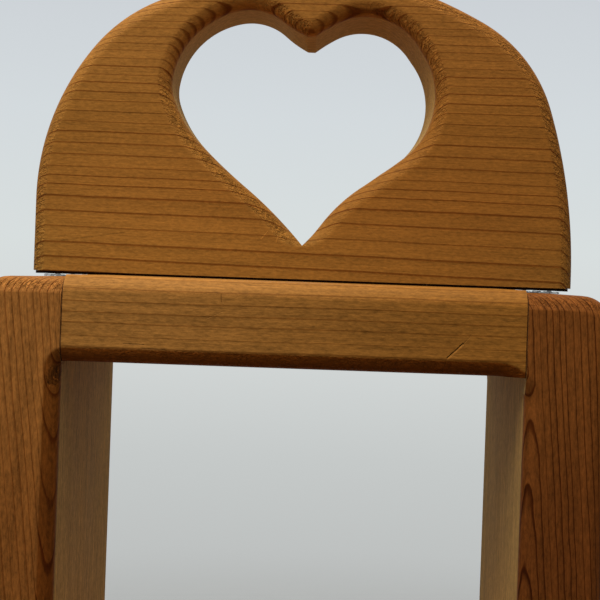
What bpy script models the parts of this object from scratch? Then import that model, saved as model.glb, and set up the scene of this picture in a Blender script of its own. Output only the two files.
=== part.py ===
"""Pine trinket shelf: a dowelled frame of three open compartments, with a heart crest on top.

Metres, +Z up. X runs across the shelf, -Y is the front, and the origin is at the middle of the base.
Every board is planed pine of one thickness. A round-over bit ran round each opening and round the
outside after assembly, so its cut fades out in the right corners, which its bearing can't reach. The left
corners were finished by hand.
"""

import math

import bmesh
import bpy
import numpy as np
from mathutils import Matrix, Vector

MM = 0.001

# Stock and frame
STOCK_T = 19.05 * MM          # thickness of every board
STOCK_W = 63.5 * MM           # width of the frame's boards, which is the depth of the shelf
OPENING_W = 101.6 * MM        # clear width between the sides
OPENING_H = 76.2 * MM         # clear height of one compartment
COMPARTMENTS = 3
JOINT_GAP = 0.3 * MM          # glue gap at the ends of the cross boards
SIDE_DROP = 0.75 * MM         # the sides end this much below the top board
OUTER_CORNER_R = 7.0 * MM     # rounded outer corners, seen from the front

# Routed edges
FRAME_BIT_R = 3.4 * MM
CREST_BIT_R = 3.5 * MM
BEARING_R = 6.35 * MM
HAND_CORNER_R = 1.5 * MM      # the left corners of the openings were finished by hand
SANDED = 0.4                  # share of the bit's arc that sanding took off with the face
BIT_STEPS = 5

# Crest
CREST_GAP = 0.6 * MM
CREST_START = (-69.83 * MM, 0.0)
CREST_STRAIGHT = 18.8 * MM
CREST_ARCS = (  # radius in mm and turn in degrees, from the left side over the top to the right
    (64.2, 38.3), (41.7, 26.4), (105.9, 18.3), (79.1, 24.6), (117.9, 10.5), (38.2, 44.3), (143.6, 17.6))
CREST_OVERRUN = 20.0 * MM     # drawn below the bottom edge, then sawn off square
HEART_TIP = (-0.3 * MM, 8.65 * MM)
HEART_LEFT = (130.1, (        # heading in degrees from the tip, then arcs up to the end of the blunt cusp
    (105.3, -11.3), (151.5, 6.2), (30.8, 26.3), (11.1, 27.1), (20.9, 70.1), (14.1, 52.3), (28.4, -14.6)))
HEART_RIGHT = (43.8, (
    (29.9, 12.1), (42.4, -21.1), (102.3, 7.4), (19.6, 84.6), (96.0, -1.3), (15.1, 83.8), (41.0, 9.2)))
HEART_CENTRE = (-1.5 * MM, 45.0 * MM)
BLADE_LEAN = (1.2 * MM, 1.45 * MM)  # how much further the leaning blade reached at the front
CREST_RAYS = 88
OUTLINE_STEP = 1.5 * MM
RAY_SAMPLES = 240

# Dowels
DOWEL_R = 3.0 * MM
DOWEL_L = 25.0 * MM
DOWEL_CHAMFER = 0.6 * MM
DOWEL_CLEARANCE = 0.3 * MM
DOWEL_Y = 16.0 * MM           # to each side of the frame's middle plane
DOWEL_IN_SIDE = 12.0 * MM
CREST_DOWEL_X = 28.0 * MM

# Hanger on the back of the top board
HANGER_W = 44.0 * MM
HANGER_H = 8.0 * MM
HANGER_T = 0.8 * MM
HANGER_TEETH = 11
TOOTH_PITCH = 2.4 * MM
TOOTH_H = 1.4 * MM
HANGER_END_STEPS = 8
NAIL_X = 18.5 * MM
NAIL_R = 0.8 * MM
NAIL_L = 12.5 * MM
NAIL_HEAD_R = 1.9 * MM
NAIL_HEAD_T = 0.7 * MM
FIT_GAP = 0.3 * MM

ROUND_SIDES = 24

# The hanger stands out behind the frame, and the origin stays under the middle of the whole.
HANGER_STACK = 2 * FIT_GAP + HANGER_T + NAIL_HEAD_T
FRAME_Y = -HANGER_STACK / 2
FRONT_Y = FRAME_Y - STOCK_W / 2
BACK_Y = FRAME_Y + STOCK_W / 2
FRAME_W = OPENING_W + 2 * STOCK_T
FRAME_H = COMPARTMENTS * OPENING_H + (COMPARTMENTS + 1) * STOCK_T
SIDE_H = FRAME_H - SIDE_DROP
CREST_Z = FRAME_H + CREST_GAP
CREST_Y = BACK_Y - STOCK_T / 2

PINE_SIDE = ("pine_side", (0.27, 0.115, 0.035), 0.42, 0.0)
PINE_BOARD = ("pine_board", (0.42, 0.205, 0.065), 0.40, 0.0)
PINE_CREST = ("pine_crest", (0.36, 0.165, 0.045), 0.42, 0.0)
BEECH = ("beech_dowel", (0.62, 0.44, 0.26), 0.6, 0.0)
ZINC = ("zinc_steel", (0.62, 0.60, 0.55), 0.35, 1.0)


def material(spec):
    """The finish named in a spec, made once."""
    name, colour, roughness, metallic = spec
    found = bpy.data.materials.get(name)
    if found:
        return found
    made = bpy.data.materials.new(name)
    made.use_nodes = True
    shader = made.node_tree.nodes["Principled BSDF"]
    shader.inputs["Base Color"].default_value = (*colour, 1.0)
    shader.inputs["Roughness"].default_value = roughness
    shader.inputs["Metallic"].default_value = metallic
    return made


def piece(name, mesh_source, spec, smooth=False):
    """Turn a bmesh into a named object with its material."""
    bmesh.ops.recalc_face_normals(mesh_source, faces=mesh_source.faces)
    mesh = bpy.data.meshes.new(name)
    mesh_source.to_mesh(mesh)
    mesh_source.free()
    made = bpy.data.objects.new(name, mesh)
    bpy.context.collection.objects.link(made)
    mesh.materials.append(material(spec))
    for face in mesh.polygons:
        face.use_smooth = smooth
    return made


def bit_angles(steps, start=0.0):
    """Angles round the quarter-round, from the wall (0) to the flat face (a right angle)."""
    return [start + (math.pi / 2 - start) * i / steps for i in range(steps + 1)]


def bit_depth(distance, radius):
    """Depth of the routed edge at a distance from the bearing's edge. It meets the face at a soft crease."""
    if distance >= radius:
        return 0.0
    reach = 1 - (1 - SANDED) * max(distance, 0.0) / radius
    return radius * (1 - math.sqrt((1 - reach * reach) / (1 - SANDED * SANDED)))


# Frame boards

def opening_floor(index):
    """Height of the floor of a compartment, counted from the bottom."""
    return STOCK_T + index * (OPENING_H + STOCK_T)


def corner_r(side):
    """Radius of the routed edge's inner corners, to the left (-) or the right (+) of the middle."""
    return HAND_CORNER_R if side < 0 else BEARING_R


def past_bearing(x, z, floor):
    """Distance of a point outside the ring that the bit's edge reaches round one opening."""
    radius = corner_r(x)
    dx = abs(x) - (OPENING_W / 2 - radius)
    dz = abs(z - floor - OPENING_H / 2) - (OPENING_H / 2 - radius)
    if dx > 0 and dz > 0:
        return math.hypot(dx, dz) - radius
    return max(dx, dz) - radius


def inside_outline(x, z, height):
    """Distance of a point inside the frame's rounded outline."""
    dx = abs(x) - (FRAME_W / 2 - OUTER_CORNER_R)
    dz = abs(z - height / 2) - (height / 2 - OUTER_CORNER_R)
    if dx > 0 and dz > 0:
        return OUTER_CORNER_R - math.hypot(dx, dz)
    return OUTER_CORNER_R - max(dx, dz)


def frame_cut(x, z, height):
    """Depth routed off the face of a frame board at (x, z)."""
    depth = bit_depth(inside_outline(x, z, height), FRAME_BIT_R)
    for index in range(COMPARTMENTS):
        depth = max(depth, bit_depth(past_bearing(x, z, opening_floor(index)), FRAME_BIT_R))
    return depth


def skin(front, back, ring=False):
    """Close two grids of points into a board: its front, its back and the walls between them."""
    shell = bmesh.new()
    front, back = ([[shell.verts.new(point) for point in row] for row in grid] for grid in (front, back))
    rows, columns = len(front), len(front[0])
    for i in range(rows if ring else rows - 1):
        k = (i + 1) % rows
        for j in range(columns - 1):
            shell.faces.new((front[i][j], front[i][j + 1], front[k][j + 1], front[k][j]))
            shell.faces.new((back[i][j], back[k][j], back[k][j + 1], back[i][j + 1]))
        for j in (0, columns - 1):
            shell.faces.new((front[i][j], front[k][j], back[k][j], back[i][j]))
    if not ring:
        for i in (0, rows - 1):
            for j in range(columns - 1):
                shell.faces.new((front[i][j], back[i][j], back[i][j + 1], front[i][j + 1]))
    bmesh.ops.remove_doubles(shell, verts=shell.verts, dist=0.001 * MM)
    bmesh.ops.dissolve_degenerate(shell, edges=shell.edges, dist=0.001 * MM)
    return shell


def frame_board(name, rows, height, spec):
    """A board of the frame, from its grid of (x, z) points."""
    front = [[(x, FRONT_Y + frame_cut(x, z, height), z) for x, z in row] for row in rows]
    back = [[(x, BACK_Y - frame_cut(x, z, height), z) for x, z in row] for row in rows]
    return piece(name, skin(front, back), spec)


def corner_stations(wall, inward, radius):
    """Places along a board where the routed edge fades out, round one corner of an opening."""
    fade = math.sqrt((radius + FRAME_BIT_R) ** 2 - radius ** 2) - radius
    spread = radius + fade
    return [wall + inward * (spread * (1 - math.cos(angle)) - fade) for angle in bit_angles(BIT_STEPS)]


def side_rows(hand):
    """Heights of a side board's grid rows."""
    heights = {0.0, SIDE_H, OUTER_CORNER_R, SIDE_H - OUTER_CORNER_R}
    for angle in bit_angles(BIT_STEPS):
        inset = OUTER_CORNER_R * (1 - math.cos(angle))
        heights.update((inset, SIDE_H - inset))
    for index in range(COMPARTMENTS):
        floor = opening_floor(index)
        heights.update(corner_stations(floor, 1, corner_r(hand)))
        heights.update(corner_stations(floor + OPENING_H, -1, corner_r(hand)))
    return sorted(heights)


def side_row(z, hand):
    """One row of a side board, from its outer edge to the opening."""
    end = min(z, SIDE_H - z)
    reach = min(FRAME_BIT_R, end)
    last = math.acos(1 - reach / FRAME_BIT_R)
    rise = max(0.0, OUTER_CORNER_R - end)
    row = []
    for i in range(BIT_STEPS + 1):
        inset = FRAME_BIT_R * (1 - math.cos(last * i / BIT_STEPS))
        run = math.sqrt(max(0.0, (OUTER_CORNER_R - inset) ** 2 - rise ** 2))
        row.append(FRAME_W / 2 - OUTER_CORNER_R + run)
    for angle in reversed(bit_angles(BIT_STEPS)):
        row.append(OPENING_W / 2 + FRAME_BIT_R * (1 - math.cos(angle)))
    return [(hand * x, z) for x in row]


def side_board(name, hand):
    return frame_board(name, [side_row(z, hand) for z in side_rows(hand)], SIDE_H, PINE_SIDE)


def cross_board(name, bottom):
    """A board between the sides. Its grid columns run up its face."""
    half = OPENING_W / 2 - JOINT_GAP
    stations = {-half, half}
    for hand in (-1, 1):
        ends = corner_stations(hand * OPENING_W / 2, -hand, corner_r(hand))
        stations.update(x for x in ends if abs(x) < half)
    stations = sorted(stations)
    insets = [FRAME_BIT_R * (1 - math.cos(angle)) for angle in bit_angles(BIT_STEPS)]
    levels = [bottom + inset for inset in insets] + [bottom + STOCK_T - inset for inset in reversed(insets)]
    return frame_board(name, [[(x, z) for z in levels] for x in stations], FRAME_H, PINE_BOARD)


# Crest

def follow(start, heading, straight, arcs, turn_sign):
    """Points along a straight, if it has any length, and then a chain of tangent arcs with radii in mm."""
    x, z = start
    angle = math.radians(heading)
    points = [(x, z)]
    moves = [(straight, 0.0)] if straight else []
    for radius, turn in arcs:
        moves.append((radius * MM * math.radians(abs(turn)), turn_sign * math.radians(turn)))
    for length, turn in moves:
        count = max(1, round(length / OUTLINE_STEP))
        for _ in range(count):
            angle += turn / count / 2
            x += length / count * math.cos(angle)
            z += length / count * math.sin(angle)
            angle += turn / count / 2
            points.append((x, z))
    return np.array(points)


def crest_outline():
    """The crest's curved edge, drawn past its bottom on both sides."""
    curve = follow(CREST_START, 90.0, CREST_STRAIGHT, CREST_ARCS, -1)
    return np.vstack(([(CREST_START[0], -CREST_OVERRUN)], curve, [(curve[-1][0], -CREST_OVERRUN)]))


def heart_half(side, lean):
    """One half of the heart, from its tip to the cusp, pushed outward by the blade's lean."""
    heading, arcs = side
    points = follow(HEART_TIP, heading, 0.0, arcs, -1 if heading > 90 else 1)
    away = points - HEART_CENTRE
    away /= np.linalg.norm(away, axis=1)[:, None]
    return points + np.maximum(0.0, away @ lean)[:, None] * away


def bearing_track(half, hand):
    """The line that the bearing's centre follows inside one half of the heart."""
    along = np.gradient(half, axis=0)
    along /= np.linalg.norm(along, axis=1)[:, None]
    return half + hand * BEARING_R * np.column_stack((along[:, 1], -along[:, 0]))


def distance_to(points, line):
    """Least distance from each point to a polyline."""
    start, run = line[:-1], np.diff(line, axis=0)
    offset = points[:, None, :] - start[None]
    share = np.clip((offset * run).sum(2) / (run * run).sum(1), 0.0, 1.0)
    return np.linalg.norm(offset - share[..., None] * run[None], axis=2).min(1)


def ray_length(angle, loop):
    """How far out a ray from the heart's middle crosses a closed outline."""
    ray = np.array((math.cos(angle), math.sin(angle)))
    a = loop - HEART_CENTRE
    b = np.roll(a, -1, axis=0)
    side_a, side_b = ray[0] * a[:, 1] - ray[1] * a[:, 0], ray[0] * b[:, 1] - ray[1] * b[:, 0]
    crossing = (side_a > 0) != (side_b > 0)
    share = side_a[crossing] / (side_a[crossing] - side_b[crossing])
    reach = (a[crossing] + share[:, None] * (b[crossing] - a[crossing])) @ ray
    return reach[reach > 0].max()


class CrestFace:
    """One face of the crest: its edge, the heart as the blade left it there, and the router's tracks."""

    def __init__(self, lean):
        self.outline = crest_outline()
        left, right = heart_half(HEART_LEFT, lean), heart_half(HEART_RIGHT, lean)
        self.corners = (left[0], left[-1], right[-1])
        self.heart = np.vstack((left, right[::-1]))
        self.tracks = self.trim(bearing_track(left, 1), bearing_track(right, -1))
        self.tracks.append(np.array((left[-1], right[-1])) - (0.0, BEARING_R))

    @staticmethod
    def trim(left, right):
        """End both tracks where they meet above the tip, as far down as the bearing can go."""
        gap = np.linalg.norm(left[:, None] - right[None], axis=2)
        gap[len(left) // 2:] = np.inf
        i, j = np.unravel_index(gap.argmin(), gap.shape)
        return [left[i:], right[j:]]

    def past_track(self, points):
        """Distance of each point outside the ring that the bearing's edge reaches in the heart."""
        return np.min([distance_to(points, track) for track in self.tracks], axis=0) - BEARING_R

    def ray(self, angle):
        """Points along one ray, across the heart's routed edge and then the outer one, and their depths."""
        direction = np.array((math.cos(angle), math.sin(angle)))
        near, far = ray_length(angle, self.heart), ray_length(angle, self.outline)
        reach = np.linspace(near, far, RAY_SAMPLES)
        points = np.array(HEART_CENTRE) + reach[:, None] * direction
        heart, edge = self.past_track(points), distance_to(points, self.outline)
        middle = RAY_SAMPLES // 2
        first = min(max(heart[0], 0.0), 0.9 * CREST_BIT_R)
        inner = bit_angles(BIT_STEPS, math.acos(1 - first / CREST_BIT_R))
        row = [near] + [np.interp(CREST_BIT_R * (1 - math.cos(a)), heart[:middle], reach[:middle])
                        for a in inner[1:]]
        outer = [np.interp(CREST_BIT_R * (1 - math.cos(a)), edge[::-1][:middle], reach[::-1][:middle])
                 for a in bit_angles(BIT_STEPS)[1:]]
        row = np.array(row + outer[::-1] + [far])
        places = np.array(HEART_CENTRE) + row[:, None] * direction
        depths = [max(bit_depth(a, CREST_BIT_R), bit_depth(b, CREST_BIT_R))
                  for a, b in zip(self.past_track(places), distance_to(places, self.outline))]
        return places, depths

    def grid(self, face_y, inward, angles):
        """The face's points, routed inward from its plane."""
        rows = []
        for angle in angles:
            places, depths = self.ray(angle)
            rows.append([(x, face_y + inward * depth, z) for (x, z), depth in zip(places, depths)])
        return rows


def ray_angles(corners):
    """Even angles, with rays through the heart's tip and both corners of its cusp."""
    marks = [math.atan2(z - HEART_CENTRE[1], x - HEART_CENTRE[0]) % math.tau for x, z in corners]
    spacing = math.tau / CREST_RAYS
    even = [spacing * i for i in range(CREST_RAYS)]
    kept = [angle for angle in even if all(abs(angle - mark) > 0.4 * spacing for mark in marks)]
    return sorted(kept + marks)


def heart_crest():
    front, back = CrestFace(BLADE_LEAN), CrestFace((0.0, 0.0))
    angles = ray_angles(back.corners)
    near = front.grid(CREST_Y - STOCK_T / 2, 1, angles)
    far = back.grid(CREST_Y + STOCK_T / 2, -1, angles)
    shell = skin(near, far, ring=True)
    sawn = bmesh.ops.bisect_plane(shell, geom=shell.verts[:] + shell.edges[:] + shell.faces[:],
                                  plane_co=Vector((0, 0, 0)), plane_no=Vector((0, 0, -1)), clear_outer=True)
    cut_edges = [item for item in sawn["geom_cut"] if isinstance(item, bmesh.types.BMEdge)]
    bmesh.ops.edgeloop_fill(shell, edges=cut_edges)
    bmesh.ops.translate(shell, verts=shell.verts, vec=(0, 0, CREST_Z))
    return piece("heart_crest", shell, PINE_CREST)


# Dowels and hanger

def turned(profile, start, direction):
    """A round solid with flat ends, from (radius, distance) pairs along a direction."""
    shell = bmesh.new()
    rings = []
    for radius, distance in profile:
        rings.append([shell.verts.new((radius * math.cos(math.tau * i / ROUND_SIDES),
                                       radius * math.sin(math.tau * i / ROUND_SIDES), distance))
                      for i in range(ROUND_SIDES)])
    for lower, upper in zip(rings, rings[1:]):
        for i in range(ROUND_SIDES):
            k = (i + 1) % ROUND_SIDES
            shell.faces.new((lower[i], lower[k], upper[k], upper[i]))
    shell.faces.new(rings[0])
    shell.faces.new(rings[-1])
    turn = Vector((0, 0, 1)).rotation_difference(Vector(direction)).to_matrix().to_4x4()
    bmesh.ops.transform(shell, matrix=Matrix.Translation(start) @ turn, verts=shell.verts)
    return shell


def dowel(name, start, direction):
    profile = [(DOWEL_R - DOWEL_CHAMFER, 0), (DOWEL_R, DOWEL_CHAMFER),
               (DOWEL_R, DOWEL_L - DOWEL_CHAMFER), (DOWEL_R - DOWEL_CHAMFER, DOWEL_L)]
    return piece(name, turned(profile, start, direction), BEECH, smooth=True)


def bore(target, start, direction, radius, length):
    """Cut a round hole, a little longer than what goes in it at both ends."""
    direction = Vector(direction)
    tool = piece(f"{target.name}_bore", turned([(radius, 0), (radius, length)], start, direction), BEECH)
    tool.hide_render = True
    tool.display_type = "WIRE"
    cut = target.modifiers.new(f"bore_{len(target.modifiers)}", "BOOLEAN")
    cut.operation = "DIFFERENCE"
    cut.solver = "EXACT"
    cut.object = tool


def frame_dowels(sides, boards):
    """Two dowels at each end of each cross board, half in the side and half in the board."""
    for board_name, (board, bottom) in boards.items():
        for side_name, (side, hand) in sides.items():
            for face, y in (("front", FRAME_Y - DOWEL_Y), ("back", FRAME_Y + DOWEL_Y)):
                start = Vector((hand * (OPENING_W / 2 + DOWEL_IN_SIDE), y, bottom + STOCK_T / 2))
                inward = Vector((-hand, 0, 0))
                dowel(f"dowel_{board_name}_{side_name}_{face}", start, inward)
                hole_start = start - inward * FIT_GAP
                for wood in (side, board):
                    bore(wood, hole_start, inward, DOWEL_R + DOWEL_CLEARANCE, DOWEL_L + 2 * FIT_GAP)


def crest_dowels(board, crest):
    """Two dowels stand in the top board and hold the crest's bottom edge."""
    for name, x in (("left", -CREST_DOWEL_X), ("right", CREST_DOWEL_X)):
        start = Vector((x, CREST_Y, FRAME_H - DOWEL_IN_SIDE))
        up = Vector((0, 0, 1))
        dowel(f"crest_dowel_{name}", start, up)
        for wood in (board, crest):
            bore(wood, start - up * FIT_GAP, up, DOWEL_R + DOWEL_CLEARANCE, DOWEL_L + 2 * FIT_GAP)


def hanger_outline():
    """Rounded plate with a row of teeth along its lower edge."""
    points = []
    end_r = HANGER_H / 2
    for i in range(HANGER_END_STEPS + 1):
        angle = math.pi / 2 - math.pi * i / HANGER_END_STEPS
        points.append((HANGER_W / 2 - end_r + end_r * math.cos(angle), end_r * math.sin(angle)))
    first = HANGER_TEETH * TOOTH_PITCH / 2
    for i in range(HANGER_TEETH):
        points.append((first - i * TOOTH_PITCH, -HANGER_H / 2))
        points.append((first - (i + 0.5) * TOOTH_PITCH, -HANGER_H / 2 + TOOTH_H))
    points.append((-first, -HANGER_H / 2))
    for i in range(HANGER_END_STEPS + 1):
        angle = -math.pi / 2 - math.pi * i / HANGER_END_STEPS
        points.append((-HANGER_W / 2 + end_r + end_r * math.cos(angle), end_r * math.sin(angle)))
    return points


def hanger(board):
    middle_z = FRAME_H - STOCK_T / 2
    inner_y = BACK_Y + FIT_GAP
    shell = bmesh.new()
    near = [shell.verts.new((x, inner_y, middle_z + z)) for x, z in hanger_outline()]
    plate = shell.faces.new(near)
    raised = bmesh.ops.extrude_face_region(shell, geom=[plate], use_keep_orig=True)
    moved = [item for item in raised["geom"] if isinstance(item, bmesh.types.BMVert)]
    bmesh.ops.translate(shell, verts=moved, vec=(0, HANGER_T, 0))
    plate_object = piece("sawtooth_hanger", shell, ZINC)
    head_y = inner_y + HANGER_T + FIT_GAP
    into = Vector((0, -1, 0))
    for name, x in (("left", -NAIL_X), ("right", NAIL_X)):
        head = Vector((x, head_y + NAIL_HEAD_T, middle_z))
        profile = [(NAIL_HEAD_R - 0.3 * NAIL_HEAD_T, 0), (NAIL_HEAD_R, 0.4 * NAIL_HEAD_T),
                   (NAIL_HEAD_R, NAIL_HEAD_T), (NAIL_R, NAIL_HEAD_T),
                   (NAIL_R, NAIL_L - 2 * NAIL_R), (0.15 * NAIL_R, NAIL_L)]
        piece(f"hanger_nail_{name}", turned(profile, head, into), ZINC, smooth=True)
        for wood in (plate_object, board):
            bore(wood, head, into, NAIL_R + FIT_GAP, NAIL_L + FIT_GAP)


def build():
    for leftover in list(bpy.data.objects):
        bpy.data.objects.remove(leftover, do_unlink=True)
    sides = {"left": (side_board("left_side", -1), -1), "right": (side_board("right_side", 1), 1)}
    names = ("bottom_board", "shelf_lower", "shelf_upper", "top_board")
    boards = {}
    for index, name in enumerate(names):
        bottom = index * (OPENING_H + STOCK_T)
        boards[name] = (cross_board(name, bottom), bottom)
    crest = heart_crest()
    frame_dowels(sides, boards)
    crest_dowels(boards["top_board"][0], crest)
    hanger(boards["top_board"][0])


build()
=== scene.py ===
"""Looks of the pine trinket shelf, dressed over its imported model: varnished boards with routed edges, a
heart crest on its glue line, dowels and a hanger, on a plain pale stage. Metres, +Z up, -Y is the front."""

import math

import bmesh
import bpy
import numpy as np
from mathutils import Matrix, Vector


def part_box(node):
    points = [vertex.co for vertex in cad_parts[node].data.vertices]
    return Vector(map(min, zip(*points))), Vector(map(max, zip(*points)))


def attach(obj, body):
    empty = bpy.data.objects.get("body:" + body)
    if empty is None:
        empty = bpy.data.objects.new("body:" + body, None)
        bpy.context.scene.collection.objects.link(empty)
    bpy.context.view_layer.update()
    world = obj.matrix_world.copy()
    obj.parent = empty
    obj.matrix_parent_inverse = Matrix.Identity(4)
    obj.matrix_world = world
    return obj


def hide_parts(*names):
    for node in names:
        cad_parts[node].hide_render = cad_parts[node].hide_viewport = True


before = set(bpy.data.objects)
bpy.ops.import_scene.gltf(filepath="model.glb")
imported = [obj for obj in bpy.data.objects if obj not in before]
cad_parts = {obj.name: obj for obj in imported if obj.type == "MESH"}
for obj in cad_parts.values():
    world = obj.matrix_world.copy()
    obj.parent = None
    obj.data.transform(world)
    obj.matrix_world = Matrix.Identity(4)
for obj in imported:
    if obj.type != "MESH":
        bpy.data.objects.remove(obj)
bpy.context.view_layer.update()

MM = 0.001

# Side boards
# Two planed pine uprights with their grain running up. A round-over bit ran round their outer edges and
# round each opening once the frame was glued, and sanding the faces left a soft crease along its cut.

CROSS_BOARDS = ("bottom_board", "shelf_lower", "shelf_upper", "top_board")
FRONT_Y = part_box("left_side")[0].y
BACK_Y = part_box("left_side")[1].y
FRAME_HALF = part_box("right_side")[1].x
OPENING_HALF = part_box("right_side")[0].x
SIDE_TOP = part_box("left_side")[1].z
FRAME_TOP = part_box("top_board")[1].z
OPENINGS = [(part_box(lower)[1].z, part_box(upper)[0].z)
            for lower, upper in zip(CROSS_BOARDS, CROSS_BOARDS[1:])]

OUTER_CORNER_R = 7.0 * MM
FRAME_BIT = 3.4 * MM           # width and depth of the routed edge
BEARING_R = 6.35 * MM
HAND_CORNER_R = 1.5 * MM       # the left corners of the openings were finished by hand
SANDED = 0.4                   # share of the bit's arc that sanding took off with the face
BIT_STEPS = 12
CREASE_EASE = 0.4 * MM         # the sanded crease is this soft
WALL_STEPS = 10
FACE_STEPS = 8
ROW_STEP = 2.0 * MM
CORNER_STEP = 0.5 * MM
CORNER_REACH = 11.0 * MM
LEAST_STEP = 0.08 * MM
TOUCHING = 0.002 * MM          # points closer than this are one
SHARP_TURN = math.radians(38)  # and edges that turn more than this stay sharp


def bit_stops(width):
    """Distances from the bearing's edge to the face, at even turns of the bit's arc."""
    turns = np.linspace(0.0, math.acos(SANDED), BIT_STEPS + 1)
    return width * (1 - np.cos(turns)) / (1 - SANDED)


def bit_depth(distance, width):
    """Depth of the routed edge at each distance from the bearing's edge."""
    reach = 1 - (1 - SANDED) * np.clip(distance / width, 0.0, 1.0)
    return width * (1 - np.sqrt((1 - reach ** 2) / (1 - SANDED ** 2)))


def past_bearing(x, z, opening):
    """Distance of each point outside the ring that the bit's edge reaches round one opening."""
    floor, ceiling = opening
    radius = np.where(x < 0, HAND_CORNER_R, BEARING_R)
    dx = np.abs(x) - (OPENING_HALF - radius)
    dz = np.abs(z - (floor + ceiling) / 2) - ((ceiling - floor) / 2 - radius)
    return np.where((dx > 0) & (dz > 0), np.hypot(dx, dz), np.maximum(dx, dz)) - radius


def inside_outline(x, z, top):
    """Distance of each point inside the frame's rounded outline."""
    dx = np.abs(x) - (FRAME_HALF - OUTER_CORNER_R)
    dz = np.abs(z - top / 2) - (top / 2 - OUTER_CORNER_R)
    return OUTER_CORNER_R - np.where((dx > 0) & (dz > 0), np.hypot(dx, dz), np.maximum(dx, dz))


def frame_cut(grid, top):
    """Depth routed off the faces of a frame board at each (x, z) point of its grid."""
    x, z = grid[..., 0], grid[..., 1]
    depth = bit_depth(inside_outline(x, z, top), FRAME_BIT)
    for opening in OPENINGS:
        depth = np.maximum(depth, bit_depth(past_bearing(x, z, opening), FRAME_BIT))
    return depth


def laid(grid, y):
    """Points in space from a grid of (x, z) points and the y of each."""
    return np.dstack((grid[..., 0], y, grid[..., 1]))


def skin(name, front, back, ring=False):
    """Close the points of a front and a back into a board. Each row of them becomes one loop round it."""
    rows = len(front)
    share = np.linspace(0.0, 1.0, WALL_STEPS + 2)[1:-1, None]
    outer = front[:, -1:] + share * (back[:, -1:] - front[:, -1:])
    inner = back[:, :1] + share * (front[:, :1] - back[:, :1])
    loops = np.concatenate((front, outer, back[:, ::-1], inner), axis=1)
    around = loops.shape[1]
    faces = []
    for i in range(rows if ring else rows - 1):
        k = (i + 1) % rows
        for j in range(around):
            m = (j + 1) % around
            faces.append((i * around + j, i * around + m, k * around + m, k * around + j))
    if not ring:
        faces.append(tuple(range(around)))
        faces.append(tuple(range((rows - 1) * around, rows * around)))
    mesh = bpy.data.meshes.new(name)
    mesh.from_pydata(loops.reshape(-1, 3).tolist(), [], faces)
    shell = bmesh.new()
    shell.from_mesh(mesh)
    bmesh.ops.remove_doubles(shell, verts=shell.verts, dist=TOUCHING)
    bmesh.ops.dissolve_degenerate(shell, edges=shell.edges, dist=TOUCHING)
    bmesh.ops.recalc_face_normals(shell, faces=shell.faces)
    shell.to_mesh(mesh)
    shell.free()
    return mesh


def dress(mesh, finish, node):
    """Show a finished mesh in place of its CAD node."""
    mesh.shade_smooth()
    mesh.set_sharp_from_angle(angle=SHARP_TURN)
    mesh.materials.append(finish)
    made = bpy.data.objects.new(f"{node}_finished", mesh)
    bpy.context.collection.objects.link(made)
    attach(made, "root")
    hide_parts(node)
    return made


def thinned(values):
    """Sorted stations with near doubles left out."""
    kept = []
    for value in sorted(values):
        if not kept or value - kept[-1] > LEAST_STEP:
            kept.append(value)
    return kept


def edge_stops():
    """Insets of the grid lines that follow a routed edge, with one just inside its crease."""
    return np.append(bit_stops(FRAME_BIT), FRAME_BIT + CREASE_EASE)


def side_rows():
    """Heights of a side board's grid rows, closer together round the corners of the openings."""
    edge = OUTER_CORNER_R * (1 - np.cos(np.linspace(0.0, math.pi / 2, 2 * BIT_STEPS + 1)))
    stops = list(edge) + list(bit_stops(FRAME_BIT))
    heights = stops + [SIDE_TOP - stop for stop in stops]
    heights += list(np.arange(OUTER_CORNER_R, SIDE_TOP - OUTER_CORNER_R, ROW_STEP))
    for corner in (height for opening in OPENINGS for height in opening):
        heights += list(np.arange(corner - CORNER_REACH, corner + CORNER_REACH, CORNER_STEP))
    inside = [height for height in thinned(heights) if 0 <= height <= SIDE_TOP - LEAST_STEP]
    return inside + [SIDE_TOP]


def side_row(z, hand):
    """One row of a side board, from its outer edge to the opening."""
    end = min(z, SIDE_TOP - z)
    rise = max(0.0, OUTER_CORNER_R - end)
    insets = edge_stops()
    if end < insets[-1]:
        insets = insets * end / insets[-1]
    outer = FRAME_HALF - OUTER_CORNER_R + np.sqrt(np.maximum(0.0, (OUTER_CORNER_R - insets) ** 2 - rise ** 2))
    inner = OPENING_HALF + edge_stops()[::-1]
    face = np.linspace(outer[-1], inner[0], FACE_STEPS + 1)[1:-1]
    row = np.concatenate((outer, face, inner))
    return np.column_stack((hand * row, np.full(len(row), z)))


def side_board(node, hand, finish):
    grid = np.array([side_row(z, hand) for z in side_rows()])
    cut = frame_cut(grid, SIDE_TOP)
    return dress(skin(node, laid(grid, FRONT_Y + cut), laid(grid, BACK_Y - cut)), finish, node)


def feed(tree, node, inputs):
    """Give a shader node's sockets their values or links."""
    for socket, value in inputs.items():
        if isinstance(value, bpy.types.NodeSocket):
            tree.links.new(value, node.inputs[socket])
        else:
            node.inputs[socket].default_value = value
    return node


def put(tree, kind, inputs=None, **settings):
    """Add a shader node, set its options and feed it."""
    made = tree.nodes.new("ShaderNode" + kind)
    for name, value in settings.items():
        setattr(made, name, value)
    return feed(tree, made, inputs or {})


def calc(tree, operation, *values):
    return put(tree, "Math", dict(enumerate(values)), operation=operation).outputs[0]


def times(tree, first, second):
    return calc(tree, "MULTIPLY", first, second)


def summed(tree, total, *parts):
    """A total with each part's value added at its own weight."""
    for value, weight in parts:
        total = calc(tree, "MULTIPLY_ADD", value, weight, total)
    return total


def combined(tree, x, y, z):
    return put(tree, "CombineXYZ", {0: x, 1: y, 2: z}).outputs[0]


def vector(tree, operation, *values):
    made = put(tree, "VectorMath", dict(enumerate(values)), operation=operation)
    return made.outputs["Value" if operation in ("DOT_PRODUCT", "LENGTH", "DISTANCE") else "Vector"]


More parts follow.
